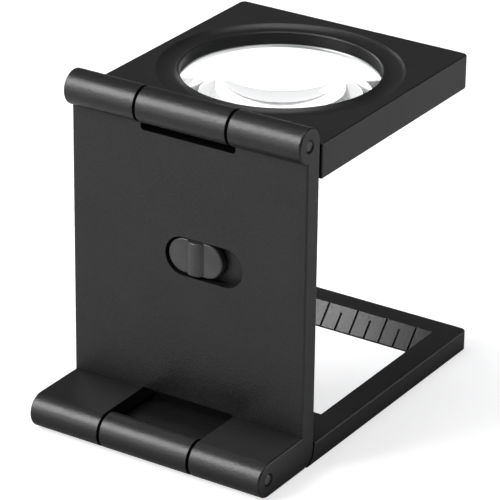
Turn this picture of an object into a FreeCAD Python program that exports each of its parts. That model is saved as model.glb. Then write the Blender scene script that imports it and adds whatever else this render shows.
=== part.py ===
import FreeCAD, Part

import math
import os

# A folding hand lens (linen tester) that stands open: an upright back plate, a square lens leaf
# hinged at its top and a square base frame hinged at its foot. A slide on the back plate works a
# small lamp in a housing on the plate's inner side.
# Millimetres, +Z up. X runs along the hinge pins, +Y from the back plate towards the leaves' free
# ends. The sizes below are measured from the back plate's outer face (Y = 0) and from the surface
# that the lens stands on (Z = 0). Every shape is then moved along Y, so that the origin is at the
# middle of the whole open lens.

# Leaves and hinges
WIDTH = 38.0
PLATE_T = 3.0
BARREL_R = 2.55
LENS_AXIS = (PLATE_T - BARREL_R, 48.2)
BASE_AXIS = (-8.5, BARREL_R)
FOOT_TOP = 2 * BARREL_R
GAP_MIDDLE = 7.4
GAP_W = 0.5
PIN_R = 0.8
RUNNING_GAP = 0.05
PIN_END_INSET = 0.12
COUNTERSINK = 0.22
EDGE_ROUND = 0.3

# Openings in the back plate behind each middle knuckle
UPPER_SILL_Z = 44.55
LOWER_LINTEL_Z = 5.5
NOTCH_CORNER_R = 0.5

# Lens leaf
LENS_LEAF_NEAR = 3.6
LENS_LEAF_FAR = 42.95
LENS_LEAF_TOP = 47.5
LENS_LEAF_T = 5.15
LENS_LEAF_CORNER_R = 0.9
LENS_LEAF_NEAR_R = 0.2
LINK_T = 1.6
DISH_R = 17.4
DISH_LOW_R = 15.6
DISH_DEPTH = 0.6
RIM_R = 14.35
RIM_FLAT = 0.12
RIM_DEPTH = 0.1
RIM_BEVEL = 0.15
LIP_R = RIM_R - RIM_BEVEL
LENS_R = 14.8
LENS_SEAT_GAP = 0.06
LENS_BED_GAP = 0.2
LENS_EDGE_T = 0.6
LENS_TOP_SAG = 1.8
LENS_BOTTOM_SAG = 1.95
LENS_TOP_DEPTH = 0.3
GLASS_INDEX = 1.52
RING_WALL = 0.85
RING_INSET = 0.15

# Base frame
BASE_FAR = 45.9
BASE_T = 3.05
BASE_SLIT_Y = 3.4
HEEL_GAP = 0.15
BASE_CORNER_R = 0.9
WINDOW_MIDDLE_Y = 26.5
WINDOW_HALF_X = 15.3
WINDOW_HALF_Y = 15.6
BEVEL_W = 2.54
BEVEL_H = 2.8
TICK_STEP = 5.0
TICK_COUNT = 6
TICK_STEEP_W = 0.08
TICK_SLOPE_W = 0.3
TICK_DEPTH = 0.17
SHORT_TICK_PART = 0.66

# Lamp slide
RECESS_X = (-3.6, 9.0)
RECESS_Z = (24.5, 30.3)
RECESS_DEPTH = 1.5
KNOB_GAP = 0.3
KNOB_LENGTH = 8.8
KNOB_FACE_Y = 0.3
KNOB_UNDERSIDE_Y = 1.3
KNOB_RIB_W = 2.8
KNOB_RIB_H = 0.68
SLIDE_TRAVEL = 3.3
POST_FROM_END = 2.4
POST_W = 2.6
POST_H = 2.0
POST_END_Y = 4.5
POST_GAP = 0.2

# Lamp housing on the plate's inner side
HOUSING_HALF_X = 15.5
HOUSING_Z = (4.6, 40.5)
HOUSING_Y = 7.0
HOUSING_WALL = 0.9
HOUSING_SKIN = 0.8
HOUSING_CORNER_R = 1.5
SCREW_POSITIONS = [(-13.0, 7.0), (13.0, 7.0), (-13.0, 38.0), (13.0, 38.0)]
SCREW_R = 0.7
SCREW_BOSS_R = 1.75
SCREW_HEAD_R = 1.2
SCREW_HEAD_T = 0.8
SCREW_TIP_Y = 1.2
SHEET_T = 0.2
BOARD_Y = (5.55, 6.15)
BOARD_Z = (24.2, 32.5)
BOARD_HALF_X = 14.0
PEG_X = 12.0
PEG_Z = 28.0
PEG_R = 0.6

# Battery bay
CELL_R = 8.0
CELL_T = 2.0
CELL_Z = 13.9
CELL_BACK_Y = 3.95
CELL_HOLE_R = 8.3
DOOR_HALF_X = 9.2
DOOR_Z = (5.4, 23.3)
DOOR_CORNER_R = 1.2
DOOR_GAP = 0.1
DOOR_SCREW = (6.5, 21.7)
DOOR_SCREW_R = 0.6
DOOR_LEDGE_T = 0.5

# Lamps
LED_X = 5.0
LED_R = 1.5
LED_TILT = 50.0
LED_LENGTH = 4.6
LED_TIP_OUT = 0.4
LEAD_R = 0.2
HOOD_HALF_X = 9.5
HOOD_Y = 9.2
HOOD_LOW_Z = 33.3
HOOD_TOP_Z = 39.3

HALF = WIDTH / 2
KNUCKLE_HALF = GAP_MIDDLE - GAP_W / 2
NOTCH_HALF = GAP_MIDDLE + GAP_W / 2
LENS_MIDDLE_Y = (LENS_LEAF_NEAR + LENS_LEAF_FAR) / 2
LENS_LEAF_BOTTOM = LENS_LEAF_TOP - LENS_LEAF_T
LENS_APEX_Z = LENS_LEAF_TOP - LENS_TOP_DEPTH
SEAT_Z = LENS_APEX_Z - LENS_TOP_SAG
BORE_R = LENS_R + LENS_SEAT_GAP
KNOB_X = (RECESS_X[0] + KNOB_GAP, RECESS_X[0] + KNOB_GAP + KNOB_LENGTH)
KNOB_Z = (RECESS_Z[0] + KNOB_GAP, RECESS_Z[1] - KNOB_GAP)
KNOB_MIDDLE = (sum(KNOB_X) / 2, sum(KNOB_Z) / 2)
POST_X = (KNOB_X[0] + POST_FROM_END - POST_W / 2, KNOB_X[0] + POST_FROM_END + POST_W / 2)
POST_Z = (KNOB_MIDDLE[1] - POST_H / 2, KNOB_MIDDLE[1] + POST_H / 2)
CAVITY_Y = HOUSING_Y - HOUSING_SKIN
LEDGE_Y = CAVITY_Y - DOOR_LEDGE_T
ORIGIN_Y = (BASE_AXIS[0] - BARREL_R + BASE_FAR) / 2


def vec(x, y, z):
    return FreeCAD.Vector(x, y, z)


def box(x, y, z):
    """A block between two values on each axis."""
    return Part.makeBox(x[1] - x[0], y[1] - y[0], z[1] - z[0], vec(x[0], y[0], z[0]))


def rod_x(x, at, radius):
    """A cylinder along X, centred on the point at = (y, z)."""
    return Part.makeCylinder(radius, x[1] - x[0], vec(x[0], at[0], at[1]), vec(1, 0, 0))


def rod_y(y, at, radius):
    """A cylinder along Y, centred on the point at = (x, z)."""
    return Part.makeCylinder(radius, y[1] - y[0], vec(at[0], y[0], at[1]), vec(0, 1, 0))


def face_of(edges):
    return Part.Face(Part.Wire(Part.__sortEdges__(edges)))


def polygon(points):
    return Part.Face(Part.makePolygon([*points, points[0]]))


def line(a, b):
    return Part.LineSegment(a, b).toShape()


def arc(a, middle, b):
    return Part.Arc(a, middle, b).toShape()


def on_side(x, centre, radius, degrees):
    """A point on a circle in the plane of the side profile."""
    turn = math.radians(degrees)
    return vec(x, centre[0] + radius * math.cos(turn), centre[1] + radius * math.sin(turn))


def rounded_block(x, y, z, radius, axis):
    """A block whose four edges along one axis are rounded."""
    block = box(x, y, z)
    edges = [e for e in block.Edges if abs(e.tangentAt(e.FirstParameter).dot(axis)) > 0.99]
    return block.makeFillet(radius, edges)


def stadium(x, y, z):
    """A slot with half-round ends along X, running through y."""
    radius = (z[1] - z[0]) / 2
    middle = (z[0] + z[1]) / 2
    ends = [rod_y(y, (x[0] + radius, middle), radius), rod_y(y, (x[1] - radius, middle), radius)]
    return box((x[0] + radius, x[1] - radius), y, z).fuse(ends).removeSplitter()


def edges_at(shape, test):
    """The edges whose two ends and middle all satisfy a test on their point."""
    chosen = []
    for edge in shape.Edges:
        span = edge.LastParameter - edge.FirstParameter
        points = [edge.valueAt(edge.FirstParameter + span * part) for part in (0.0, 0.5, 1.0)]
        if all(test(point) for point in points):
            chosen.append(edge)
    return chosen


def upright_edges(leaf, y):
    """A leaf's two upright corner edges at one end."""
    return edges_at(leaf, lambda p: abs(p.y - y) < 1e-6 and abs(abs(p.x) - HALF) < 1e-6)


def side_profile():
    """Outline of the back plate with its two barrels, its foot and its rounded heel."""
    x = -HALF
    top, foot = LENS_AXIS, BASE_AXIS
    heel = (LENS_AXIS[0], BARREL_R)
    drop = math.sqrt(BARREL_R**2 - top[0] ** 2)
    neck = vec(x, 0, top[1] - drop)
    corner = vec(x, 0, FOOT_TOP)
    foot_top = on_side(x, foot, BARREL_R, 90)
    edges = [
        arc(neck, on_side(x, top, BARREL_R, 135), on_side(x, top, BARREL_R, 0)),
        line(on_side(x, top, BARREL_R, 0), on_side(x, heel, BARREL_R, 0)),
        arc(on_side(x, heel, BARREL_R, 0), on_side(x, heel, BARREL_R, -45), on_side(x, heel, BARREL_R, -90)),
        line(on_side(x, heel, BARREL_R, -90), on_side(x, foot, BARREL_R, -90)),
        arc(on_side(x, foot, BARREL_R, -90), on_side(x, foot, BARREL_R, 180), foot_top),
        line(foot_top, corner),
        line(corner, neck),
    ]
    return face_of(edges)


def knuckle_notches():
    """The two openings that the leaves' middle knuckles turn in."""
    x = (-NOTCH_HALF, NOTCH_HALF)
    across = vec(0, 1, 0)
    upper = rounded_block(x, (-4, PLATE_T + 1), (UPPER_SILL_Z, 60), NOTCH_CORNER_R, across)
    lower = rounded_block(x, (-12, PLATE_T + 1), (-5, LOWER_LINTEL_Z), NOTCH_CORNER_R, across)
    return [upper, lower]


def pin_bores(radius):
    """The bores for both pins, each countersunk at its two ends."""
    bores = []
    for axis in (LENS_AXIS, BASE_AXIS):
        bores.append(rod_x((-HALF - 1, HALF + 1), axis, radius))
        for side in (-1, 1):
            mouth = vec(side * HALF, axis[0], axis[1])
            cone = Part.makeCone(radius + COUNTERSINK, radius, COUNTERSINK, mouth, vec(-side, 0, 0))
            bores.append(cone)
    return bores


def post_slot():
    """The slot through the recess floor, which the knob covers when the lamp is off."""
    x = (POST_X[0] - POST_GAP, POST_X[1] + SLIDE_TRAVEL + POST_GAP)
    return box(x, (0, PLATE_T + 1), (POST_Z[0] - POST_GAP, POST_Z[1] + POST_GAP))


def back_plate():
    plate = side_profile().extrude(vec(WIDTH, 0, 0))
    ends = edges_at(plate, lambda p: abs(abs(p.x) - HALF) < 1e-6)
    plate = plate.makeFillet(EDGE_ROUND, ends)
    plate = plate.cut(knuckle_notches())
    recess = stadium(RECESS_X, (-1, RECESS_DEPTH), RECESS_Z)
    tapped = [rod_y((SCREW_TIP_Y - 0.1, PLATE_T + 1), at, SCREW_R) for at in SCREW_POSITIONS]
    return plate.cut([recess, post_slot(), *tapped, *pin_bores(PIN_R)])


def hinge_pin(axis):
    length = HALF - PIN_END_INSET
    pin = rod_x((-length, length), axis, PIN_R)
    ends = edges_at(pin, lambda p: abs(abs(p.x) - length) < 1e-6)
    return pin.makeFillet(PIN_R * 0.3, ends)


def hinge_washers(axis):
    """Two thin spring washers, one in each gap between the knuckles."""
    washers = []
    for side in (-1, 1):
        middle = side * GAP_MIDDLE
        span = (middle - GAP_W * 0.4, middle + GAP_W * 0.4)
        washers.append(rod_x(span, axis, BARREL_R * 0.72).cut(rod_x((-HALF, HALF), axis, PIN_R + 0.04)))
    return Part.makeCompound(washers)


def knuckle(axis):
    return rod_x((-KNUCKLE_HALF, KNUCKLE_HALF), axis, BARREL_R)


def lens_opening():
    """The hollow ring of the dish, the rim, the lip and the bore round the lens, turned as one cutter."""
    top = LENS_LEAF_TOP
    lip_depth = top - SEAT_Z - LENS_BED_GAP

    def at(radius, depth):
        return vec(radius, 0, top - depth)

    edges = [
        line(at(0, -1), at(DISH_R, -1)),
        line(at(DISH_R, -1), at(DISH_R, 0)),
        arc(at(DISH_R, 0), at(DISH_LOW_R, DISH_DEPTH), at(RIM_R + RIM_FLAT, RIM_DEPTH)),
        line(at(RIM_R + RIM_FLAT, RIM_DEPTH), at(RIM_R, RIM_DEPTH)),
        line(at(RIM_R, RIM_DEPTH), at(LIP_R, RIM_DEPTH + RIM_BEVEL)),
        line(at(LIP_R, RIM_DEPTH + RIM_BEVEL), at(LIP_R, lip_depth)),
        line(at(LIP_R, lip_depth), at(BORE_R, lip_depth)),
        line(at(BORE_R, lip_depth), at(BORE_R, LENS_LEAF_T + 1)),
        line(at(BORE_R, LENS_LEAF_T + 1), at(0, LENS_LEAF_T + 1)),
        line(at(0, LENS_LEAF_T + 1), at(0, -1)),
    ]
    cutter = face_of(edges).revolve(vec(0, 0, 0), vec(0, 0, 1), 360)
    return cutter.translated(vec(0, LENS_MIDDLE_Y, 0))


def lens_frame():
    x, y = (-HALF, HALF), (LENS_LEAF_NEAR, LENS_LEAF_FAR)
    z = (LENS_LEAF_BOTTOM, LENS_LEAF_TOP)
    leaf = box(x, y, z)
    for side_y, radius in ((LENS_LEAF_NEAR, LENS_LEAF_NEAR_R), (LENS_LEAF_FAR, LENS_LEAF_CORNER_R)):
        leaf = leaf.makeFillet(radius, upright_edges(leaf, side_y))
    rims = edges_at(leaf, lambda p: min(abs(p.z - z[0]), abs(p.z - z[1])) < 1e-6)
    leaf = leaf.makeFillet(EDGE_ROUND, rims)
    link_y = (LENS_AXIS[0], LENS_LEAF_NEAR + 1)
    link_z = (LENS_LEAF_TOP - LINK_T, LENS_LEAF_TOP)
    link = box((-KNUCKLE_HALF, KNUCKLE_HALF), link_y, link_z)
    frame = leaf.fuse([knuckle(LENS_AXIS), link]).removeSplitter()
    bore = rod_x((-HALF, HALF), LENS_AXIS, PIN_R + RUNNING_GAP)
    return frame.cut([bore, lens_opening()])


def curve_radius(sag):
    """Radius of the spherical face that rises by sag over the lens's radius."""
    return (LENS_R**2 + sag**2) / (2 * sag)


def halfway_fall(sag):
    """How far that face has fallen from its apex halfway to the lens's edge."""
    radius = curve_radius(sag)
    return radius - math.sqrt(radius**2 - (LENS_R / 2) ** 2)


def focal_length():
    """Focal length of the thin lens, in crown glass."""
    bend = 1 / curve_radius(LENS_TOP_SAG) + 1 / curve_radius(LENS_BOTTOM_SAG)
    return 1 / ((GLASS_INDEX - 1) * bend)


def lens():
    """A biconvex lens, flatter on top, with a narrow ground edge."""
    top_edge, bottom_edge = SEAT_Z, SEAT_Z - LENS_EDGE_T
    top, bottom = LENS_APEX_Z, bottom_edge - LENS_BOTTOM_SAG
    half = LENS_R / 2
    upper_half = vec(half, 0, top - halfway_fall(LENS_TOP_SAG))
    lower_half = vec(half, 0, bottom + halfway_fall(LENS_BOTTOM_SAG))
    edges = [
        arc(vec(0, 0, top), upper_half, vec(LENS_R, 0, top_edge)),
        line(vec(LENS_R, 0, top_edge), vec(LENS_R, 0, bottom_edge)),
        arc(vec(LENS_R, 0, bottom_edge), lower_half, vec(0, 0, bottom)),
        line(vec(0, 0, bottom), vec(0, 0, top)),
    ]
    turned = face_of(edges).revolve(vec(0, 0, 0), vec(0, 0, 1), 360)
    return turned.translated(vec(0, LENS_MIDDLE_Y, 0))


def lens_retaining_ring():
    """A ring pressed in from below, with a cone that bears on the lens's edge."""
    inner = BORE_R - RING_WALL
    top = SEAT_Z - LENS_EDGE_T
    low = LENS_LEAF_BOTTOM + RING_INSET
    outline = [(inner, low), (BORE_R, low), (BORE_R, top), (inner, top - 1.5 * LENS_BED_GAP)]
    ring = polygon([vec(r, 0, z) for r, z in outline]).revolve(vec(0, 0, 0), vec(0, 0, 1), 360)
    return ring.translated(vec(0, LENS_MIDDLE_Y, 0))


def base_outline():
    """Side outline of the base frame, whose toe lies under the back plate's heel."""
    x = -HALF
    heel = (LENS_AXIS[0], BARREL_R)
    radius = BARREL_R + HEEL_GAP
    low = -math.degrees(math.asin(BARREL_R / radius))
    toe, step = on_side(x, heel, radius, low), on_side(x, heel, radius, 0)
    edges = [
        arc(toe, on_side(x, heel, radius, low / 2), step),
        line(step, vec(x, BASE_SLIT_Y, BASE_T)),
        line(vec(x, BASE_SLIT_Y, BASE_T), vec(x, BASE_FAR, BASE_T)),
        line(vec(x, BASE_FAR, BASE_T), vec(x, BASE_FAR, 0)),
        line(vec(x, BASE_FAR, 0), toe),
    ]
    return face_of(edges)


def window_cutter():
    """The window, whose four sides slope in to a thin lower edge."""

    def rectangle(inset, z):
        x, y = WINDOW_HALF_X - inset, WINDOW_HALF_Y - inset
        corners = [vec(-x, -y, z), vec(x, -y, z), vec(x, y, z), vec(-x, y, z)]
        return Part.makePolygon([*corners, corners[0]])

    low_z = BASE_T - BEVEL_H
    slope = BEVEL_W / BEVEL_H
    funnel = Part.makeLoft([rectangle(BEVEL_W, low_z), rectangle(-slope, BASE_T + 1)], True, True)
    throat = Part.makeLoft([rectangle(BEVEL_W, -1), rectangle(BEVEL_W, low_z)], True, True)
    return funnel.fuse(throat).translated(vec(0, WINDOW_MIDDLE_Y, 0))


def tick(offset, reach, half_depth):
    """A cutter up the slope of the far side, at an offset along it, with one steep wall."""
    rise = math.degrees(math.atan2(BEVEL_H, BEVEL_W))
    slope = math.hypot(BEVEL_W, BEVEL_H)
    length = slope * reach + 0.6
    left, right = -TICK_STEEP_W, TICK_SLOPE_W
    section = [(left, -0.2), (left, 0), (0, TICK_DEPTH), (right, 0), (right, -0.2)]
    bar = polygon([vec(x, y, -0.3) for x, y in section]).extrude(vec(0, 0, length))
    bar.rotate(vec(0, 0, 0), vec(1, 0, 0), rise - 90)
    return bar.translated(vec(offset, half_depth - BEVEL_W, BASE_T - BEVEL_H))


def ticks():
    """Graduations every 5 mm across all four slopes, with a short one between each pair."""
    first = -TICK_STEP * (TICK_COUNT - 1) / 2
    marks = [(first + TICK_STEP * i, 1.0) for i in range(TICK_COUNT)]
    marks += [(first + TICK_STEP * (i + 0.5), SHORT_TICK_PART) for i in range(TICK_COUNT - 1)]
    cutters = []
    for quarter in range(4):
        half_depth = WINDOW_HALF_X if quarter % 2 else WINDOW_HALF_Y
        for offset, reach in marks:
            mark = tick(offset, reach, half_depth)
            mark.rotate(vec(0, 0, 0), vec(0, 0, 1), 90 * quarter)
            cutters.append(mark.translated(vec(0, WINDOW_MIDDLE_Y, 0)))
    return cutters


def base_frame():
    leaf = base_outline().extrude(vec(WIDTH, 0, 0))
    leaf = leaf.makeFillet(BASE_CORNER_R, upright_edges(leaf, BASE_FAR))
    inner_x, inner_y = HALF - BASE_CORNER_R - 0.01, BASE_FAR - BASE_CORNER_R - 0.01
    brow = edges_at(leaf, lambda p: abs(p.z - BASE_T) < 1e-6 and (abs(p.x) > inner_x or p.y > inner_y))
    leaf = leaf.makeFillet(EDGE_ROUND, brow)
    tongue = box((-KNUCKLE_HALF, KNUCKLE_HALF), (BASE_AXIS[0], BASE_SLIT_Y + 1), (0, BASE_T))
    frame = leaf.fuse([knuckle(BASE_AXIS), tongue]).removeSplitter()
    bore = rod_x((-HALF, HALF), BASE_AXIS, PIN_R + RUNNING_GAP)
    return frame.cut([bore, window_cutter(), *ticks()])


def switch_knob():
    face_y = (KNOB_FACE_Y, KNOB_UNDERSIDE_Y)
    pad = stadium(KNOB_X, face_y, KNOB_Z)
    pad = pad.makeFillet(EDGE_ROUND, edges_at(pad, lambda p: abs(p.y - KNOB_FACE_Y) < 1e-6))
    radius = ((KNOB_RIB_W / 2) ** 2 + KNOB_RIB_H**2) / (2 * KNOB_RIB_H)
    foot = vec(KNOB_MIDDLE[0], KNOB_FACE_Y - KNOB_RIB_H + radius, KNOB_Z[0] + 0.1)
    roll = Part.makeCylinder(radius, KNOB_Z[1] - KNOB_Z[0] - 0.2, foot, vec(0, 0, 1))
    roll = roll.makeFillet(0.25, [e for e in roll.Edges if e.Curve.TypeId == "Part::GeomCircle"])
    rib = roll.common(stadium(KNOB_X, (KNOB_FACE_Y - 2, KNOB_UNDERSIDE_Y), KNOB_Z))
    post = box(POST_X, (KNOB_UNDERSIDE_Y - 0.2, POST_END_Y), POST_Z)
    return pad.fuse([rib, post]).removeSplitter()


def switch_carrier():
    """The block on the plate's inner side that holds the knob in and bears the wiper."""
    x, z = (KNOB_X[0] + 0.1, KNOB_X[1] - 0.1), (KNOB_Z[0] - 0.1, KNOB_Z[1] + 0.1)
    block = rounded_block(x, (PLATE_T + SHEET_T + 0.15, POST_END_Y), z, 0.6, vec(0, 1, 0))
    return block.cut(box(POST_X, (0, 10), POST_Z))


def bent_strip(points, thickness, z):
    """A strip of sheet metal: a bent line in the plane of X and Y, as wide as z."""
    near = [vec(x, y, z[0]) for x, y in points]
    far = [vec(x, y + thickness, z[0]) for x, y in reversed(points)]
    return polygon([*near, *far]).extrude(vec(0, 0, z[1] - z[0]))


def switch_wiper():
    """A sheet-metal bridge with two sprung fingers that run on the board's pads."""
    x, z = KNOB_MIDDLE
    base = box((x - 3.4, x + 3.4), (POST_END_Y, POST_END_Y + 0.2), (z - 2.0, z + 2.0))
    bridge = [(x - 2.6, POST_END_Y), (x - 1.3, 5.18), (x + 1.3, 5.18), (x + 2.6, POST_END_Y)]
    fingers = [bent_strip(bridge, 0.2, (z + low, z + low + 0.9)) for low in (-1.6, 0.7)]
    return base.fuse(fingers).removeSplitter()


def switch_contacts():
    """Two plated pads on the board: one under both ends of the travel, one under its far end."""
    x, z = KNOB_MIDDLE
    y = (BOARD_Y[0] - 0.1, BOARD_Y[0])
    common = box((x - 1.6, x + SLIDE_TRAVEL + 1.6), y, (z - 1.6, z - 0.7))
    live = box((x + 1.9, x + SLIDE_TRAVEL + 1.6), y, (z + 0.7, z + 1.6))
    return Part.makeCompound([common, live])


def led_direction():
    tilt = math.radians(LED_TILT)
    return vec(0, math.cos(tilt), -math.sin(tilt))


def led_mouth(x):
    """Where a lamp's axis meets the hood's sloping face."""
    half_run = (HOOD_Y - HOUSING_Y) / 2
    return vec(x, HOUSING_Y + half_run, HOOD_LOW_Z + half_run / math.tan(math.radians(LED_TILT)))


def lamp_hood():
    """A wedge under the housing's top end, whose lower face looks down at the window."""
    run = HOOD_Y - HOUSING_Y
    low_front = HOOD_LOW_Z + run / math.tan(math.radians(LED_TILT))
    outline = [
        (HOUSING_Y - 1.5, HOOD_LOW_Z),
        (HOUSING_Y, HOOD_LOW_Z),
        (HOOD_Y, low_front),
        (HOOD_Y, HOOD_TOP_Z - 0.8),
        (HOOD_Y - 0.8, HOOD_TOP_Z),
        (HOUSING_Y - 1.5, HOOD_TOP_Z),
    ]
    wedge = polygon([vec(-HOOD_HALF_X, y, z) for y, z in outline])
    return wedge.extrude(vec(2 * HOOD_HALF_X, 0, 0))


def lamp_housing():
    wall, across = HOUSING_WALL, vec(0, 1, 0)
    outer_x = (-HOUSING_HALF_X, HOUSING_HALF_X)
    inner_x = (outer_x[0] + wall, outer_x[1] - wall)
    low_z = (HOUSING_Z[0] + wall, BOARD_Z[0] - 0.2)
    high_z = (BOARD_Z[0] - 0.3, HOUSING_Z[1] - wall)
    shell = rounded_block(outer_x, (PLATE_T, HOUSING_Y), HOUSING_Z, HOUSING_CORNER_R, across)
    rims = edges_at(shell, lambda p: abs(p.y - HOUSING_Y) < 1e-6)
    shell = shell.makeFillet(0.4, rims)
    battery_bay = box(inner_x, (0, LEDGE_Y), low_z)
    board_bay = box(inner_x, (0, CAVITY_Y), high_z)
    shell = shell.cut([battery_bay, board_bay]).fuse(lamp_hood())
    columns = [rod_y((PLATE_T, HOUSING_Y - 0.3), at, SCREW_BOSS_R) for at in SCREW_POSITIONS]
    columns.append(rod_y((PLATE_T + SHEET_T, LEDGE_Y + 0.1), DOOR_SCREW, 1.3))
    pegs = [rod_y((BOARD_Y[0] - 0.4, CAVITY_Y + 0.1), (side * PEG_X, PEG_Z), PEG_R) for side in (-1, 1)]
    shell = shell.fuse(columns + pegs).removeSplitter()
    cuts = [rod_y((0, 10), (0, CELL_Z), CELL_HOLE_R)]
    door_x = (-DOOR_HALF_X - DOOR_GAP, DOOR_HALF_X + DOOR_GAP)
    door_z = (DOOR_Z[0] - DOOR_GAP, DOOR_Z[1] + DOOR_GAP)
    cuts.append(rounded_block(door_x, (CAVITY_Y, 10), door_z, DOOR_CORNER_R + DOOR_GAP, across))
    cuts.append(rod_y((0, 10), DOOR_SCREW, DOOR_SCREW_R))
    for at in SCREW_POSITIONS:
        cuts.append(rod_y((0, 10), at, SCREW_R + 0.05))
        cuts.append(rod_y((HOUSING_Y - SCREW_HEAD_T - 0.1, 10), at, SCREW_HEAD_R + 0.1))
    back = led_direction() * -(LED_LENGTH + 1)
    for side in (-1, 1):
        start = led_mouth(side * LED_X).add(back)
        cuts.append(Part.makeCylinder(LED_R + 0.05, 8, start, led_direction()))
        flange_start = led_mouth(side * LED_X).add(led_direction() * -3.4)
        cuts.append(Part.makeCylinder(LED_R + 0.4, 2.5, flange_start, led_direction() * -1))
    return shell.cut(cuts)


def cross_recess(at, y, depth, half_length):
    """Two crossing slots in a screw's head."""
    x, z = at
    flat = box((x - half_length, x + half_length), (y - depth, y + 1), (z - 0.13, z + 0.13))
    tall = box((x - 0.13, x + 0.13), (y - depth, y + 1), (z - half_length, z + half_length))
    return [flat, tall]


def screw(at, head_y, head_r, head_t, shank_r, tip_y):
    """A pan-head screw whose head's top is at head_y."""
    head = rod_y((head_y - head_t, head_y), at, head_r)
    head = head.makeFillet(0.2, edges_at(head, lambda p: abs(p.y - head_y) < 1e-6))
    shank = rod_y((tip_y, head_y - head_t), at, shank_r)
    return head.fuse(shank).cut(cross_recess(at, head_y, head_t / 2, head_r * 0.6)).removeSplitter()


def housing_screws():
    top = HOUSING_Y - 0.1
    parts = [screw(at, top, SCREW_HEAD_R, SCREW_HEAD_T, SCREW_R, SCREW_TIP_Y) for at in SCREW_POSITIONS]
    return Part.makeCompound(parts)


def battery_door_screw():
    return screw(DOOR_SCREW, HOUSING_Y - 0.05, 1.1, 0.4, DOOR_SCREW_R, PLATE_T + 1)


def battery_door():
    """A flush cover over the cell, with finger ribs along its lower edge."""
    x = (-DOOR_HALF_X, DOOR_HALF_X)
    door = rounded_block(x, (CAVITY_Y, HOUSING_Y), DOOR_Z, DOOR_CORNER_R, vec(0, 1, 0))
    grooves = []
    for i in range(5):
        z = DOOR_Z[0] + 2.0 + i * 1.2
        grooves.append(box((-4, 4), (HOUSING_Y - 0.25, HOUSING_Y + 1), (z, z + 0.5)))
    hole = rod_y((0, 10), DOOR_SCREW, DOOR_SCREW_R + 0.1)
    seat = rod_y((HOUSING_Y - 0.45, 10), DOOR_SCREW, 1.2)
    return door.cut([hole, seat, *grooves])


def coin_cell():
    """A 16 mm coin cell: a wide can with a smaller negative cap towards the plate."""
    front = CELL_BACK_Y + CELL_T
    can = rod_y((CELL_BACK_Y + 0.25, front), (0, CELL_Z), CELL_R)
    can = can.makeChamfer(0.2, edges_at(can, lambda p: abs(p.y - front) < 1e-6))
    cap = rod_y((CELL_BACK_Y, CELL_BACK_Y + 0.3), (0, CELL_Z), CELL_R - 1.0)
    return can.fuse(cap).removeSplitter()


def contact_leg(side, y):
    """The upright leg that joins a battery contact to the board."""
    x = (-12.2, -10.6) if side < 0 else (10.6, 12.2)
    return box(x, y, (12.9, BOARD_Z[0] + 1.6))


def battery_contact_negative():
    """A sprung strip behind the cell's negative cap, with a leg up to the board."""
    path = [(-12.2, 3.25), (-9.0, 3.25), (-1.5, CELL_BACK_Y - 0.2), (1.5, 3.5)]
    spring = bent_strip(path, 0.2, (12.9, 14.9))
    top = BOARD_Z[0] + 1.6
    tab = box((-12.2, -10.6), (3.25, BOARD_Y[0]), (top - 0.2, top))
    return spring.fuse([contact_leg(-1, (3.25, 3.45)), tab]).removeSplitter()


def battery_contact_positive():
    """A blade beside the cell's rim, with a leg up to the board."""
    y = (BOARD_Y[0] - 0.2, BOARD_Y[0])
    blade = box((CELL_R, CELL_R + 0.2), (CELL_BACK_Y + 0.4, BOARD_Y[0]), (11.4, 16.4))
    bridge = box((CELL_R, 12.2), y, (12.9, 14.9))
    return blade.fuse([bridge, contact_leg(1, y)]).removeSplitter()


def circuit_board():
    x = (-BOARD_HALF_X, BOARD_HALF_X)
    board = rounded_block(x, BOARD_Y, BOARD_Z, 0.8, vec(0, 1, 0))
    return board.cut([rod_y((0, 10), (side * PEG_X, PEG_Z), PEG_R + 0.05) for side in (-1, 1)])


def chip_resistor():
    return box((-8.8, -7.2), (BOARD_Y[0] - 0.5, BOARD_Y[0]), (29.0, 29.8))


def insulator_sheet():
    """A thin card that keeps the contacts off the metal plate."""
    gap = 0.4
    x = (-HOUSING_HALF_X + HOUSING_WALL + gap, HOUSING_HALF_X - HOUSING_WALL - gap)
    z = (HOUSING_Z[0] + HOUSING_WALL + gap, HOUSING_Z[1] - HOUSING_WALL - gap)
    sheet = box(x, (PLATE_T, PLATE_T + SHEET_T), z)
    holes = [rod_y((0, 10), at, SCREW_BOSS_R + 0.15) for at in SCREW_POSITIONS]
    spare = 2 * POST_GAP
    slot_x = (POST_X[0] - spare, POST_X[1] + SLIDE_TRAVEL + spare)
    slot = box(slot_x, (0, 10), (POST_Z[0] - spare, POST_Z[1] + spare))
    return sheet.cut([*holes, slot])


def wire_run(points, radius):
    """Straight round wire through a list of points, with rounded elbows."""
    pieces = [Part.makeSphere(radius, point) for point in points[1:-1]]
    for a, b in zip(points, points[1:]):
        run = b.sub(a)
        pieces.append(Part.makeCylinder(radius, run.Length, a, run))
    return pieces[0].fuse(pieces[1:])


def led(x):
    """A round lamp with a domed tip, a flange and two leads down to the board."""
    along, mouth = led_direction(), led_mouth(x)
    tip = mouth.add(along * (LED_TIP_OUT - LED_R))
    back = mouth.add(along * -LED_LENGTH)
    body = Part.makeCylinder(LED_R, tip.sub(back).Length, back, along)
    flange = Part.makeCylinder(LED_R + 0.25, 0.6, back, along)
    shape = body.fuse([Part.makeSphere(LED_R, tip), flange])
    for side in (-1, 1):
        start = back.add(vec(side * 0.6, 0, 0))
        out = start.sub(along * 0.7)
        high = vec(out.x, PLATE_T + 0.7, out.z)
        low = vec(out.x, PLATE_T + 0.7, BOARD_Z[1] - 1.3)
        end = vec(out.x, BOARD_Y[0], BOARD_Z[1] - 1.3)
        inside = start.add(along * 0.3)
        shape = shape.fuse(wire_run([inside, out, high, low, end], LEAD_R))
    return shape.removeSplitter()


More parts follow.
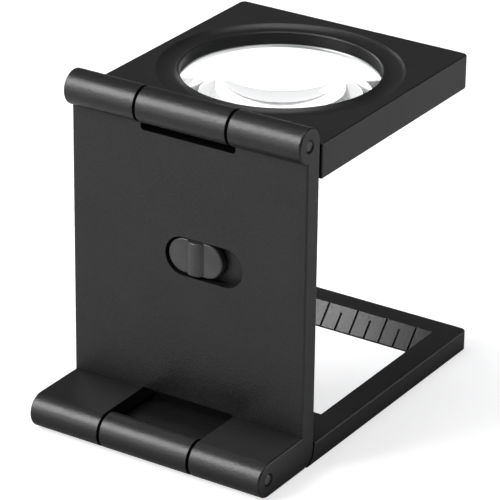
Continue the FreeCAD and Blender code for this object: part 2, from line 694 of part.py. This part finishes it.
def write(name, shape):
    """Moves a shape into the lens's own frame and writes it."""
    placed = shape.translated(vec(0, -ORIGIN_Y, 0))
    placed.exportStep("parts/" + name + ".step")
    solids = placed.Solids
    volume = sum(solid.Volume for solid in solids)
    print(f"{name:26s} solids {len(solids)}  valid {placed.isValid()}  volume {volume:9.2f} mm3")


PARTS = {
    "back_plate": back_plate,
    "upper_hinge_pin": lambda: hinge_pin(LENS_AXIS),
    "lower_hinge_pin": lambda: hinge_pin(BASE_AXIS),
    "upper_hinge_washers": lambda: hinge_washers(LENS_AXIS),
    "lower_hinge_washers": lambda: hinge_washers(BASE_AXIS),
    "lens_frame": lens_frame,
    "lens": lens,
    "lens_retaining_ring": lens_retaining_ring,
    "base_frame": base_frame,
    "switch_knob": switch_knob,
    "switch_carrier": switch_carrier,
    "switch_wiper": switch_wiper,
    "switch_contacts": switch_contacts,
    "lamp_housing": lamp_housing,
    "housing_screws": housing_screws,
    "battery_door": battery_door,
    "battery_door_screw": battery_door_screw,
    "coin_cell": coin_cell,
    "battery_contact_negative": battery_contact_negative,
    "battery_contact_positive": battery_contact_positive,
    "circuit_board": circuit_board,
    "chip_resistor": chip_resistor,
    "insulator_sheet": insulator_sheet,
    "led_left": lambda: led(-LED_X),
    "led_right": lambda: led(LED_X),
}


def main():
    os.makedirs("parts", exist_ok=True)
    for name, build in PARTS.items():
        write(name, build())
    print(f"origin shift {ORIGIN_Y:.3f} mm, lens focal length about {focal_length():.1f} mm")


main()
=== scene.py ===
import math

import bmesh
import bpy
from mathutils import Matrix, Vector


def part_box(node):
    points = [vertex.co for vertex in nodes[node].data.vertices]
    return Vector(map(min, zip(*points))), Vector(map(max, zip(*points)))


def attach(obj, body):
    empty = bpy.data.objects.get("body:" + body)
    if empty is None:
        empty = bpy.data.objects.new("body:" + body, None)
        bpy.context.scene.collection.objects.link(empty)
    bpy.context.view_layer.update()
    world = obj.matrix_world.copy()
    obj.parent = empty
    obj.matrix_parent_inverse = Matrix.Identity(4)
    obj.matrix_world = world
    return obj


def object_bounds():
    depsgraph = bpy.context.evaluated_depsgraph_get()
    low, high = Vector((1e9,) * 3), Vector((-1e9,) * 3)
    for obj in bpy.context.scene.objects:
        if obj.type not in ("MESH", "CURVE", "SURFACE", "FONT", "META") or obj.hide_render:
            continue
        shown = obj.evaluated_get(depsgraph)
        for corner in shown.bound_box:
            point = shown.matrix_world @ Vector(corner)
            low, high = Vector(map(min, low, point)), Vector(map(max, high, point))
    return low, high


# The looks of a folding hand lens: satin black paint on the plate and its two leaves, a biconvex
# glass in a bright ring, dark steel pins, a moulded slide and a moulded lamp housing. Lengths are
# in metres.

MM = 0.001
UM = 0.000001

# Camera: a long lens, above and to the right of the plate's outer face
CAMERA_AT = Vector((223.5, -352.7, 215.9)) * MM
CAMERA_YAW = 0.568
CAMERA_PITCH = 0.435
CAMERA_ROLL = 0.012
CAMERA_LENS = 234.99
CAMERA_SENSOR = 36.0
CAMERA_SHIFT = (0.0074, -0.0007)
CAMERA_NEAREST = 20 * MM

# Floor and room: SEEN and GLOW are for the camera and the glass, LIGHT for the other reflections
FLOOR_HALF = 3.0
FLOOR_CELLS = 24
FLOOR_SEEN = 0.62
FLOOR_GLOW = 0.60
FLOOR_LIGHT = 0.57
FIBRE_GREY = 0.60
FIBRE_SHARE = 0.03
ROOM_SEEN = 0.93
ROOM_LIGHT = 0.12

# Softboxes: direction from the object's middle, distance, width and height, radiance
SOFTBOXES = {
    "key_softbox": ((-0.54, -0.60, 0.62), 0.9, (0.42, 0.60), 10.5),
    "low_softbox": ((-0.50, -0.80, 0.06), 0.9, (1.00, 0.34), 2.2),
    "side_softbox": ((-0.94, 0.20, 0.24), 0.8, (0.34, 0.30), 5.0),
    "back_softbox": ((0.80, 0.60, 0.10), 0.9, (0.60, 0.36), 2.5),
    "top_softbox": ((0.0, 0.0, 1.0), 1.4, (1.00, 1.00), 2.5),
}

# Light bounces: enough for the light that zigzags inside the lens's edge
BOUNCES = 32
MIRROR_BOUNCES = 24

# Edge masks: how far the rounded normal turns from the true one where wear starts and is full
WEAR_STARTS = 0.03
WEAR_FULL = 0.25
EDGE_SAMPLES = 6
OPENNESS_SAMPLES = 8

# Inside the clear lamps: radius and height in mm, along a lamp's axis from the middle of its dome
LAMP_R = 1.5 * MM
LAMP_TILT = math.radians(50.0)
LEAD_FOOT = -4.2
CUP_OUTLINE = ((0.0, LEAD_FOOT), (0.34, LEAD_FOOT), (0.34, -2.1), (0.64, -1.40), (0.60, -1.34),
               (0.50, -1.38), (0.24, -1.76), (0.0, -1.76))
POST_OUTLINE = ((0.0, LEAD_FOOT), (0.20, LEAD_FOOT), (0.20, -1.36), (0.14, -1.28), (0.0, -1.26))
CHIP_OUTLINE = ((0.0, -1.80), (0.24, -1.80), (0.24, -1.66), (0.15, -1.56), (0.0, -1.53))
POST_OFFSET = 0.86 * MM
TURNED_STEPS = 40

# The plus sign on the battery door
PLUS_ARM = 1.5 * MM
PLUS_HALF_W = 0.32 * MM
PLUS_RELIEF = 0.14 * MM
PLUS_SUNK = PLUS_RELIEF / 2
PLUS_BEVEL = 0.4 * PLUS_RELIEF
PLUS_ABOVE_MIDDLE = 2.6 * MM

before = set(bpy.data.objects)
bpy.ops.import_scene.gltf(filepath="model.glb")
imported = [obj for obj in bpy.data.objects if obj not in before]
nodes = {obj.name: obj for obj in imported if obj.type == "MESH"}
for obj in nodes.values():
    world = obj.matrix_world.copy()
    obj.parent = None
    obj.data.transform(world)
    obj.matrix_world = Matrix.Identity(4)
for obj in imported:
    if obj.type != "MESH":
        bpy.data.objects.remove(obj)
cad_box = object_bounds()


# ---------------------------------------------------------------- node trees

class Surface:
    """A material's node tree around one Principled shader, in the object's own coordinates."""

    def __init__(self, name):
        self.material = bpy.data.materials.new(name)
        self.material.use_nodes = True
        self.tree = self.material.node_tree
        self.tree.nodes.clear()
        self.shader = self.add("BsdfPrincipled")
        output = self.add("OutputMaterial")
        self.tree.links.new(self.shader.outputs["BSDF"], output.inputs["Surface"])
        self.place = self.add("TexCoord").outputs["Object"]

    def fill(self, socket, value):
        """Gives a socket a value or links another node's output to it."""
        if isinstance(value, bpy.types.NodeSocket):
            self.tree.links.new(value, socket)
        else:
            socket.default_value = value

    def add(self, kind, inputs=None, **settings):
        """Makes a node with the given inputs, by name or number, and settings."""
        node = self.tree.nodes.new("ShaderNode" + kind)
        for key, value in settings.items():
            setattr(node, key, value)
        for key, value in (inputs or {}).items():
            self.fill(node.inputs[key], value)
        return node

    def set(self, **values):
        """Fills the shader's own sockets, with underscores for the spaces in their names."""
        for key, value in values.items():
            self.fill(self.shader.inputs[key.replace("_", " ")], value)

    def stretched(self, factors):
        """The object's coordinates scaled by a factor along each axis."""
        return self.add("VectorMath", {0: self.place, 1: factors}, operation="MULTIPLY").outputs[0]

    def noise(self, size, detail=2.0, place=None, roughness=0.5):
        """Noise from 0 to 1 whose blotches are about size metres wide."""
        inputs = {"Vector": place or self.place, "Scale": 1 / size, "Detail": detail, "Roughness": roughness}
        return self.add("TexNoise", inputs).outputs["Fac"]

    def cells(self, size):
        """Distance from 0 to 1 to the nearest of scattered points about size metres apart."""
        return self.add("TexVoronoi", {"Vector": self.place, "Scale": 1 / size}).outputs["Distance"]

    def waves(self, scale, **settings):
        """Even ridges from 0 to 1 along one axis."""
        return self.add("TexWave", {"Vector": self.place, "Scale": scale}, **settings).outputs["Fac"]

    def calc(self, operation, a, b=0.0, clamp=False):
        """A sum, product or the like of numbers or other nodes' outputs."""
        return self.add("Math", {0: a, 1: b}, operation=operation, use_clamp=clamp).outputs[0]

    def range(self, value, low, high, new_low=0.0, new_high=1.0):
        """Maps low..high smoothly to new_low..new_high."""
        inputs = {"Value": value, "From Min": low, "From Max": high, "To Min": new_low, "To Max": new_high}
        return self.add("MapRange", inputs, interpolation_type="SMOOTHSTEP").outputs["Result"]

    def blend(self, factor, a, b):
        """A colour from a to b. The numbers are the colour version's factor, A and B."""
        return self.add("Mix", {0: factor, 6: a, 7: b}, data_type="RGBA").outputs[2]

    def edges(self, radius):
        """1 along sharp and rounded edges, 0 on open faces."""
        soft = self.add("Bevel", {"Radius": radius}, samples=EDGE_SAMPLES).outputs["Normal"]
        true = self.add("NewGeometry").outputs["Normal"]
        match = self.add("VectorMath", {0: soft, 1: true}, operation="DOT_PRODUCT").outputs["Value"]
        return self.range(self.calc("SUBTRACT", 1.0, match), WEAR_STARTS, WEAR_FULL)

    def openness(self, reach):
        """0 deep in a corner, 1 where nothing stands within reach."""
        return self.add("AmbientOcclusion", {"Distance": reach}, samples=OPENNESS_SAMPLES).outputs["AO"]

    def bump(self, height, depth, below=None):
        """Relief of the given depth in metres, on top of any relief below it."""
        inputs = {"Height": height, "Distance": depth, "Strength": 1.0}
        if below is not None:
            inputs["Normal"] = below
        return self.add("Bump", inputs).outputs["Normal"]


def grey(value):
    return (value, value, value * 1.01, 1.0)


# ---------------------------------------------------------------- materials

def satin_paint():
    """Satin black paint on metal: orange-peel grain, edges rubbed a little brighter, and painted shade that
    dims its reflections in corners and recesses.
    """
    s = Surface("satin_black_paint")
    blotch = s.noise(7 * MM, 3.0)
    grain = s.noise(0.34 * MM, 3.0, roughness=0.6)
    fine = s.noise(0.10 * MM, 1.0)
    patchy = s.range(s.noise(0.9 * MM, 3.0), 0.50, 0.72)
    worn = s.calc("MULTIPLY", s.edges(0.15 * MM), patchy, clamp=True)
    base = s.blend(s.range(blotch, 0.3, 0.7), grey(0.0060), grey(0.0085))
    base = s.blend(s.range(grain, 0.35, 0.75), base, grey(0.0115))
    s.set(Base_Color=s.blend(s.calc("MULTIPLY", worn, 0.5), base, grey(0.035)))
    rough = s.range(blotch, 0.25, 0.75, 0.31, 0.36)
    rough = s.calc("ADD", rough, s.calc("MULTIPLY", s.calc("SUBTRACT", grain, 0.5), 0.16))
    s.set(Roughness=s.calc("SUBTRACT", rough, s.calc("MULTIPLY", worn, 0.05)))
    s.set(Normal=s.bump(fine, 3 * UM, s.bump(grain, 38 * UM)))
    # Painted shade: the paint's reflections are dimmed where other parts stand close, so corners, recesses
    # and faces beside a wall read darker
    s.set(Specular_IOR_Level=s.range(s.openness(10 * MM), 0.38, 0.86, 0.14, 0.5))
    return s.material


def pin_steel():
    """Blackened steel, drawn along its length and worn on its edges."""
    s = Surface("pin_steel")
    drawn = s.noise(0.06 * MM, 2.0, s.stretched((0.03, 1.0, 1.0)))
    patina = s.noise(0.6 * MM, 3.0)
    base = s.blend(s.range(patina, 0.3, 0.7), grey(0.085), grey(0.14))
    s.set(Base_Color=s.blend(s.edges(0.10 * MM), base, grey(0.34)))
    s.set(Metallic=1.0)
    s.set(Roughness=s.range(drawn, 0.3, 0.7, 0.28, 0.44))
    s.set(Normal=s.bump(drawn, 1.6 * UM))
    return s.material


def lens_glass():
    """Clear crown glass with the faintest wiping marks."""
    s = Surface("lens_glass")
    wiped = s.noise(0.6 * MM, 3.0, s.stretched((1.0, 0.12, 1.0)))
    s.set(Base_Color=(0.975, 0.985, 0.98, 1.0))
    s.set(Transmission_Weight=1.0, IOR=1.52)
    s.set(Roughness=s.range(wiped, 0.45, 0.9, 0.0, 0.035))
    return s.material


def ring_bright():
    """The lens's retaining ring: satin aluminium with turning marks."""
    s = Surface("satin_aluminium")
    low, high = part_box("lens_retaining_ring")
    middle = (low + high) / 2
    centred = s.add("VectorMath", {0: s.place, 1: middle}, operation="SUBTRACT").outputs[0]
    marks = {"Vector": centred, "Scale": 1400.0, "Distortion": 0.4, "Detail": 1.0}
    rings = s.add("TexWave", marks, wave_type="RINGS", rings_direction="Z").outputs["Fac"]
    base = s.blend(s.noise(2 * MM), grey(0.79), grey(0.87))
    s.set(Base_Color=s.blend(s.edges(0.15 * MM), base, grey(0.92)))
    s.set(Metallic=1.0)
    s.set(Roughness=s.range(rings, 0.0, 1.0, 0.36, 0.46))
    s.set(Normal=s.bump(rings, 1.2 * UM))
    return s.material


def moulded_plastic(name, base, rough, texture, relief, rubbed):
    """Black plastic with a spark-eroded mould texture, polished where fingers touch it."""
    s = Surface(name)
    sparks = s.cells(texture)
    cloud = s.noise(4 * MM)
    fine = s.noise(texture / 2)
    worn = s.edges(0.18 * MM)
    colour = s.blend(s.range(cloud, 0.3, 0.7), grey(base * 0.85), grey(base * 1.15))
    s.set(Base_Color=s.blend(s.calc("MULTIPLY", worn, 0.6), colour, grey(rubbed)))
    uneven = s.range(cloud, 0.2, 0.8, rough - 0.03, rough + 0.03)
    uneven = s.calc("ADD", uneven, s.calc("MULTIPLY", fine, 0.08))
    s.set(Roughness=s.calc("SUBTRACT", uneven, s.calc("MULTIPLY", worn, 0.1)))
    s.set(Normal=s.bump(fine, relief * 0.4, s.bump(sparks, relief)))
    s.set(Specular_IOR_Level=0.5)
    return s.material


def machined_steel(name, base, rough, streak):
    """Plated steel with fine streaks and brighter edges."""
    s = Surface(name)
    streaks = s.noise(0.08 * MM, 2.0, s.stretched(streak))
    cloud = s.noise(1.2 * MM, 3.0)
    colour = s.blend(s.range(cloud, 0.3, 0.7), grey(base * 0.85), grey(base))
    s.set(Base_Color=s.blend(s.edges(0.12 * MM), colour, grey(base * 1.25)))
    s.set(Metallic=1.0)
    s.set(Roughness=s.range(streaks, 0.3, 0.7, rough - 0.07, rough + 0.07))
    s.set(Normal=s.bump(streaks, 1.5 * UM))
    return s.material


def contact_brass():
    """Sprung brass strip, a little tarnished away from its edges."""
    s = Surface("contact_brass")
    rolled = s.noise(0.07 * MM, 2.0, s.stretched((0.08, 1.0, 1.0)))
    tarnish = s.range(s.noise(1.8 * MM, 4.0), 0.35, 0.7)
    colour = s.blend(tarnish, (0.80, 0.56, 0.24, 1.0), (0.46, 0.29, 0.12, 1.0))
    s.set(Base_Color=s.blend(s.edges(0.10 * MM), colour, (0.92, 0.72, 0.38, 1.0)))
    s.set(Metallic=1.0)
    s.set(Roughness=s.range(rolled, 0.3, 0.7, 0.22, 0.40))
    s.set(Normal=s.bump(rolled, 1.2 * UM))
    return s.material


def board_green():
    """Glass-fibre board under green solder resist: the weave shows and copper runs lie under it."""
    s = Surface("board_green")
    weave = s.calc("MULTIPLY", s.waves(420.0, bands_direction="X"), s.waves(420.0, bands_direction="Z"))
    tracks = {"Vector": s.stretched((1.0, 0.0, 1.0)), "Scale": 420.0, "Mortar Size": 0.09,
              "Mortar Smooth": 0.2}
    runs = s.add("TexBrick", tracks, offset=0.35, squash=1.6).outputs["Fac"]
    resist = s.blend(weave, (0.008, 0.075, 0.030, 1.0), (0.012, 0.100, 0.042, 1.0))
    s.set(Base_Color=s.blend(runs, resist, (0.030, 0.190, 0.070, 1.0)))
    s.set(Roughness=s.range(s.noise(0.8 * MM), 0.3, 0.7, 0.22, 0.34))
    s.set(Normal=s.bump(weave, 3 * UM, s.bump(runs, 30 * UM)))
    return s.material


def resistor_black():
    """A chip resistor: black glaze between tinned ends."""
    s = Surface("chip_resistor_glaze")
    low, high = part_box("chip_resistor")
    half = (high.x - low.x) / 2
    across = s.add("SeparateXYZ", {"Vector": s.place}).outputs["X"]
    from_middle = s.calc("ABSOLUTE", s.calc("SUBTRACT", across, (low.x + high.x) / 2))
    tinned = s.range(from_middle, half * 0.66, half * 0.70)
    speck = s.noise(0.06 * MM)
    s.set(Base_Color=s.blend(tinned, grey(0.012), grey(0.72)))
    s.set(Metallic=tinned)
    s.set(Roughness=s.range(speck, 0.3, 0.7, 0.25, 0.42))
    s.set(Normal=s.bump(speck, 2 * UM))
    return s.material


def sheet_card():
    """Thin dark fish paper: pressed fibres with scattered lighter ones."""
    s = Surface("insulating_card")
    fibres = s.noise(0.20 * MM, 4.0, s.stretched((1.0, 1.0, 0.22)), roughness=0.65)
    flecks = s.range(s.noise(0.12 * MM, 3.0, s.stretched((0.2, 1.0, 1.0))), 0.62, 0.72)
    card = s.blend(fibres, (0.030, 0.026, 0.022, 1.0), (0.060, 0.052, 0.044, 1.0))
    s.set(Base_Color=s.blend(s.calc("MULTIPLY", flecks, 0.5), card, (0.16, 0.14, 0.12, 1.0)))
    s.set(Roughness=s.range(fibres, 0.3, 0.7, 0.70, 0.88))
    s.set(Normal=s.bump(fibres, 12 * UM))
    return s.material


def led_epoxy():
    """Water-clear lamp epoxy with slight flow marks."""
    s = Surface("led_epoxy")
    flow = s.noise(1.5 * MM, 2.0, s.stretched((1.0, 0.4, 1.0)))
    s.set(Base_Color=(0.97, 0.98, 1.0, 1.0))
    s.set(Transmission_Weight=1.0, IOR=1.5)
    s.set(Roughness=s.range(flow, 0.3, 0.8, 0.015, 0.09))
    s.set(Normal=s.bump(flow, 6 * UM))
    return s.material


def lamp_phosphor():
    """The yellow phosphor over a lamp's chip: fine grains in clear resin."""
    s = Surface("lamp_phosphor")
    grains = s.noise(0.03 * MM, 3.0, roughness=0.7)
    s.set(Base_Color=s.blend(grains, (0.72, 0.52, 0.05, 1.0), (0.90, 0.74, 0.16, 1.0)))
    s.set(Roughness=s.range(grains, 0.3, 0.7, 0.40, 0.60))
    s.set(Normal=s.bump(grains, 4 * UM))
    return s.material


MATERIALS = {
    "black_coating": satin_paint(),
    "pin_steel": pin_steel(),
    "lens_glass": lens_glass(),
    "ring_bright": ring_bright(),
    "knob_black": moulded_plastic("slide_plastic", 0.046, 0.36, 0.22 * MM, 3.5 * UM, 0.09),
    "housing_black": moulded_plastic("housing_plastic", 0.017, 0.50, 0.32 * MM, 11 * UM, 0.05),
    "carrier_plastic": moulded_plastic("carrier_plastic", 0.045, 0.44, 0.30 * MM, 5 * UM, 0.09),
    "screw_steel": machined_steel("screw_steel", 0.55, 0.30, (1.0, 0.2, 1.0)),
    "cell_steel": machined_steel("cell_steel", 0.70, 0.24, (0.04, 1.0, 1.0)),
    "contact_brass": contact_brass(),
    "board_green": board_green(),
    "resistor_black": resistor_black(),
    "sheet_card": sheet_card(),
    "led_epoxy": led_epoxy(),
    "lamp_phosphor": lamp_phosphor(),
}

SLOT_NODES = {
    "black_coating": ["back_plate", "lens_frame", "base_frame"],
    "pin_steel": ["upper_hinge_pin", "lower_hinge_pin", "upper_hinge_washers", "lower_hinge_washers"],
    "lens_glass": ["lens"],
    "ring_bright": ["lens_retaining_ring"],
    "knob_black": ["switch_knob"],
    "housing_black": ["lamp_housing", "battery_door"],
    "carrier_plastic": ["switch_carrier"],
    "screw_steel": ["housing_screws", "battery_door_screw"],
    "cell_steel": ["coin_cell"],
    "contact_brass": ["switch_wiper", "switch_contacts", "battery_contact_negative",
                      "battery_contact_positive"],
    "board_green": ["circuit_board"],
    "resistor_black": ["chip_resistor"],
    "sheet_card": ["insulator_sheet"],
    "led_epoxy": ["led_left", "led_right"],
}


def dress_nodes():
    for slot, names in SLOT_NODES.items():
        for name in names:
            slots = nodes[name].data.materials
            slots.clear()
            slots.append(MATERIALS[slot])


# ---------------------------------------------------------------- added pieces

def mesh_object(name, shape, material):
    """Turns a bmesh into an object in the scene."""
    mesh = bpy.data.meshes.new(name)
    shape.to_mesh(mesh)
    shape.free()
    mesh.materials.append(material)
    made = bpy.data.objects.new(name, mesh)
    bpy.context.scene.collection.objects.link(made)
    return made


def add_piece(name, shape, material):
    """Finishes a mesh into a piece of the stand."""
    bmesh.ops.recalc_face_normals(shape, faces=shape.faces)
    piece = mesh_object(name, shape, MATERIALS[material])
    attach(piece, "stand")


def turned(outline, place):
    """A closed solid of revolution; the outline runs from the axis round and back to it."""
    shape = bmesh.new()
    rings = []
    for radius, height in outline:
        count = TURNED_STEPS if radius > 0 else 1
        turns = [math.tau * i / count for i in range(count)]
        points = [Vector((radius * math.cos(t), radius * math.sin(t), height)) * MM for t in turns]
        rings.append([shape.verts.new(place @ point) for point in points])
    for lower, upper in zip(rings, rings[1:]):
        for i in range(TURNED_STEPS):
            corners = [lower[i % len(lower)], lower[(i + 1) % len(lower)],
                       upper[(i + 1) % len(upper)], upper[i % len(upper)]]
            shape.faces.new(list(dict.fromkeys(corners)))
    for face in shape.faces:
        face.smooth = True
    return shape


def fill_lamp(node):
    """The reflector cup, the second lead's post and the chip that show through a clear lamp."""
    low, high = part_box(node)
    dome = Vector(((low.x + high.x) / 2, high.y - LAMP_R, low.z + LAMP_R))
    axis = Vector((0.0, math.cos(LAMP_TILT), -math.sin(LAMP_TILT)))
    place = Matrix.Translation(dome) @ axis.to_track_quat("Z", "Y").to_matrix().to_4x4()
    beside = Matrix.Translation((POST_OFFSET, 0.0, 0.0)) @ place
    add_piece(node + "_cup", turned(CUP_OUTLINE, place), "cell_steel")
    add_piece(node + "_post", turned(POST_OUTLINE, beside), "cell_steel")
    add_piece(node + "_chip", turned(CHIP_OUTLINE, place), "lamp_phosphor")


def quarter_turn(point, turns):
    x, z = point
    for _ in range(turns):
        x, z = -z, x
    return x, z


def plus_sign():
    """A raised plus sign on the battery door, for the way up of the cell."""
    low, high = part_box("battery_door")
    arm, half = PLUS_ARM, PLUS_HALF_W
    quarter = [(half, half), (half, arm), (-half, arm)]
    outline = [quarter_turn(point, turn) for turn in range(4) for point in quarter]
    middle = Vector(((low.x + high.x) / 2, high.y, (low.z + high.z) / 2 + PLUS_ABOVE_MIDDLE))
    shape = bmesh.new()
    corners = [shape.verts.new(middle + Vector((x, -PLUS_SUNK, z))) for x, z in outline]
    base = shape.faces.new(corners)
    raised = bmesh.ops.extrude_face_region(shape, geom=[base])["geom"]
    top = [item for item in raised if isinstance(item, bmesh.types.BMVert)]
    bmesh.ops.translate(shape, verts=top, vec=(0.0, PLUS_SUNK + PLUS_RELIEF, 0.0))
    rim = [edge for edge in shape.edges if all(vert in top for vert in edge.verts)]
    bmesh.ops.bevel(shape, geom=rim, offset=PLUS_BEVEL, segments=2, affect="EDGES", profile=0.5)
    add_piece("battery_door_plus", shape, "housing_black")


# ---------------------------------------------------------------- studio

def floor_material():
    """Pale paper, brighter to the camera and through glass than to the paint's reflections."""
    s = Surface("studio_paper")
    fibre = s.noise(1.5 * MM, 3.0)
    path = s.add("LightPath").outputs
    seen = s.calc("ADD", path["Is Camera Ray"], path["Transmission Depth"], clamp=True)
    paper = s.blend(seen, grey(FLOOR_LIGHT), grey(FLOOR_SEEN))
    s.set(Base_Color=s.blend(s.calc("MULTIPLY", fibre, FIBRE_SHARE), paper, grey(FIBRE_GREY)))
    s.set(Emission_Color=grey(1.0), Emission_Strength=s.calc("MULTIPLY", seen, FLOOR_GLOW))
    s.set(Roughness=s.range(fibre, 0.3, 0.7, 0.88, 0.96))
    s.set(Normal=s.bump(fibre, 10 * UM))
    s.set(Specular_IOR_Level=0.1)
    return s.material


def make_floor():
    shape = bmesh.new()
    bmesh.ops.create_grid(shape, x_segments=FLOOR_CELLS, y_segments=FLOOR_CELLS, size=FLOOR_HALF)
    floor = mesh_object("studio_floor", shape, floor_material())
    floor.location.z = cad_box[0].z


def add_softbox(name, direction, distance, size, radiance):
    """A rectangular area light, width by height, that faces the object's middle."""
    middle = (cad_box[0] + cad_box[1]) / 2
    outward = Vector(direction).normalized()
    light = bpy.data.lights.new(name, "AREA")
    light.shape = "RECTANGLE"
    light.size, light.size_y = size
    light.energy = radiance * math.pi * size[0] * size[1]
    lamp = bpy.data.objects.new(name, light)
    lamp.location = middle + outward * distance
    lamp.rotation_euler = outward.to_track_quat("Z", "Y").to_euler()
    lamp.visible_camera = False
    bpy.context.scene.collection.objects.link(lamp)


def make_room():
    """A dim room, which looks pale to the camera and through glass."""
    world = bpy.data.worlds.new("studio_room")
    world.use_nodes = True
    make, link = world.node_tree.nodes.new, world.node_tree.links.new
    world.node_tree.nodes.clear()
    path = make("ShaderNodeLightPath")
    seen = make("ShaderNodeMath")
    seen.operation = "ADD"
    seen.use_clamp = True
    dim, pale, share = make("ShaderNodeBackground"), make("ShaderNodeBackground"), make("ShaderNodeMixShader")
    dim.inputs["Color"].default_value = grey(ROOM_LIGHT)
    pale.inputs["Color"].default_value = grey(ROOM_SEEN)
    link(path.outputs["Is Camera Ray"], seen.inputs[0])
    link(path.outputs["Transmission Depth"], seen.inputs[1])
    link(seen.outputs[0], share.inputs[0])
    link(dim.outputs[0], share.inputs[1])
    link(pale.outputs[0], share.inputs[2])
    link(share.outputs[0], make("ShaderNodeOutputWorld").inputs["Surface"])
    bpy.context.scene.world = world


def make_camera():
    yaw, pitch, roll = CAMERA_YAW, CAMERA_PITCH, CAMERA_ROLL
    forward = Vector((-math.sin(yaw) * math.cos(pitch), math.cos(yaw) * math.cos(pitch), -math.sin(pitch)))
    right = Vector((math.cos(yaw), math.sin(yaw), 0.0))
    up = right.cross(forward)
    rolled_right = right * math.cos(roll) + up * math.sin(roll)
    rolled_up = up * math.cos(roll) - right * math.sin(roll)
    turn = Matrix((rolled_right, rolled_up, -forward)).transposed().to_4x4()
    lens = bpy.data.cameras.new("camera")
    lens.lens = CAMERA_LENS
    lens.sensor_width = CAMERA_SENSOR
    lens.shift_x, lens.shift_y = CAMERA_SHIFT
    lens.clip_start = CAMERA_NEAREST
    camera = bpy.data.objects.new("camera", lens)
    camera.matrix_world = Matrix.Translation(CAMERA_AT) @ turn
    bpy.context.scene.collection.objects.link(camera)
    bpy.context.scene.camera = camera


def make_studio():
    make_floor()
    make_room()
    for name, settings in SOFTBOXES.items():
        add_softbox(name, *settings)
    make_camera()
    scene = bpy.context.scene
    scene.view_settings.view_transform = "Standard"
    scene.cycles.max_bounces = scene.cycles.transmission_bounces = BOUNCES
    scene.cycles.glossy_bounces = MIRROR_BOUNCES


dress_nodes()
for lamp_node in SLOT_NODES["led_epoxy"]:
    fill_lamp(lamp_node)
plus_sign()
make_studio()
